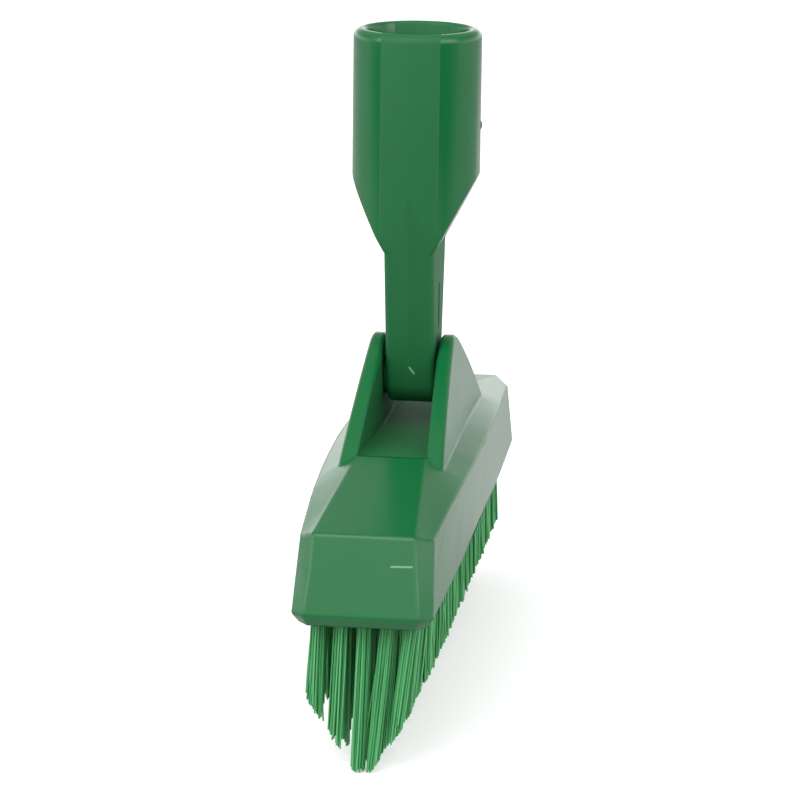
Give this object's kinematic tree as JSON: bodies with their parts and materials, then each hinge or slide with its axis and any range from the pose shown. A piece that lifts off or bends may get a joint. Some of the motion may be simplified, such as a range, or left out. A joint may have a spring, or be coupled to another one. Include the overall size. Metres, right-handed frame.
{
  "type": "grout brush",
  "caption": "Long narrow floor brush head with V-trimmed stiff bristles and a swivelling tapered socket for a pole handle.",
  "frame": {"origin": "centre of the handle socket's mouth, on the socket's axis, where the straight wall of the bore starts 0.8 mm inside the rim", "axes": "+Z out of the socket's mouth along the handle, Y along the brush block, X across it along the pivot pin"},
  "size_m": [0.0424, 0.2078, 0.186],
  "materials": {
    "green_plastic": "satin moulded polypropylene",
    "bristle": "extruded polyester filament",
    "pin_steel": "ground stainless pin",
    "staple_steel": "flat stainless wire"
  },
  "bodies": {
    "neck": {"neck_socket": "green_plastic"},
    "head": {"brush_block": "green_plastic", "pivot_pin": "pin_steel", "tuft_row_01": "bristle", "tuft_row_02": "bristle", "tuft_row_03": "bristle", "tuft_row_04": "bristle", "tuft_row_05": "bristle", "tuft_row_06": "bristle", "tuft_row_07": "bristle", "tuft_row_08": "bristle", "tuft_row_09": "bristle", "tuft_row_10": "bristle", "tuft_row_11": "bristle", "tuft_row_12": "bristle", "tuft_row_13": "bristle", "tuft_row_14": "bristle", "tuft_row_15": "bristle", "tuft_row_16": "bristle", "tuft_row_17": "bristle", "tuft_row_18": "bristle", "tuft_row_19": "bristle", "tuft_row_20": "bristle", "tuft_row_21": "bristle", "tuft_row_22": "bristle", "tuft_row_23": "bristle", "tuft_row_24": "bristle", "staples_column_1": "staple_steel", "staples_column_2": "staple_steel", "staples_column_3": "staple_steel", "staples_column_4": "staple_steel", "staples_column_5": "staple_steel"}
  },
  "joints": [
    {"name": "head_swivel", "type": "hinge", "parent": "neck", "child": "head", "pos_m": [0, 0, -0.0986], "axis": [1, 0, 0], "range_deg": [-80, 80]}
  ]
}
